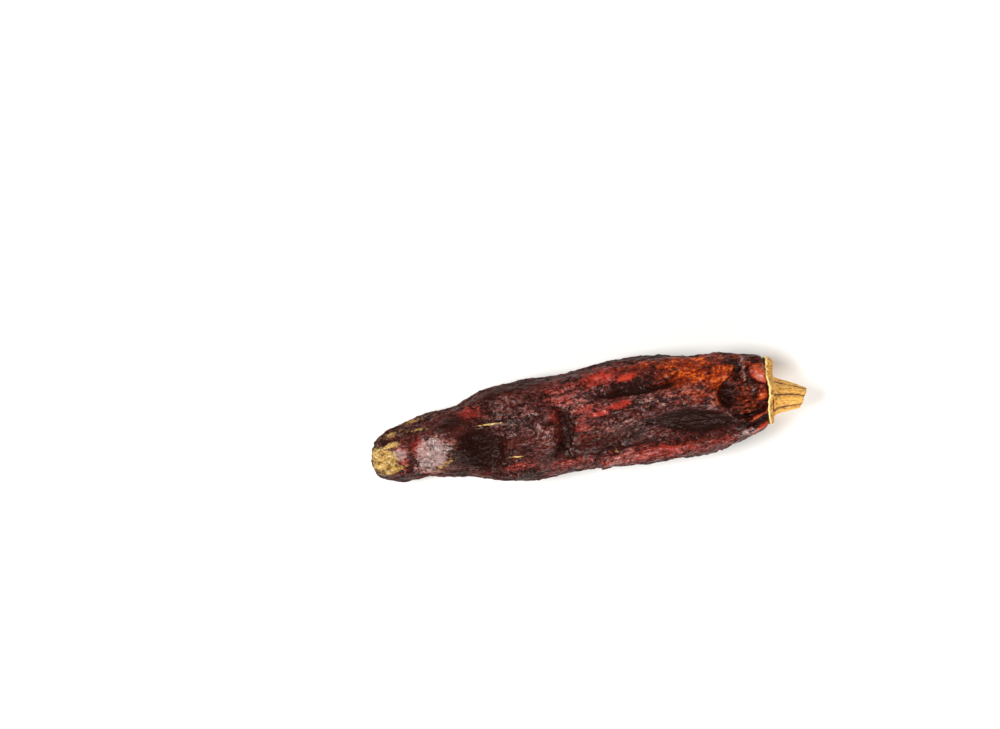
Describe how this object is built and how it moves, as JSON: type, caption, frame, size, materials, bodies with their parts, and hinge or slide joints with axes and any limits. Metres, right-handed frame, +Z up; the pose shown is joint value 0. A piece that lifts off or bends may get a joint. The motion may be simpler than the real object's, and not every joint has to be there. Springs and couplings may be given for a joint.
{
  "type": "dried chilli pepper",
  "caption": "Dried chilli pepper lying on its side: a flattened, wrinkled pod with a straw calyx over its wide end and a short ribbed stem.",
  "frame": {"origin": "on the surface the pepper lies on, under the middle of its bounding box", "axes": "+X along the pod from its tip towards the stem, +Y across the pod, +Z up from the surface"},
  "size_m": [0.0728, 0.0178, 0.0105],
  "materials": {
    "pod_skin": "semi-gloss wrinkled skin, dark maroon with red and rust patches",
    "calyx_straw": "matt dry straw with a cream rim",
    "stem_straw": "matt dry straw with lengthwise fibres"
  },
  "bodies": {
    "root": {"pod": "pod_skin", "calyx": "calyx_straw", "stem": "stem_straw"}
  },
  "joints": []
}
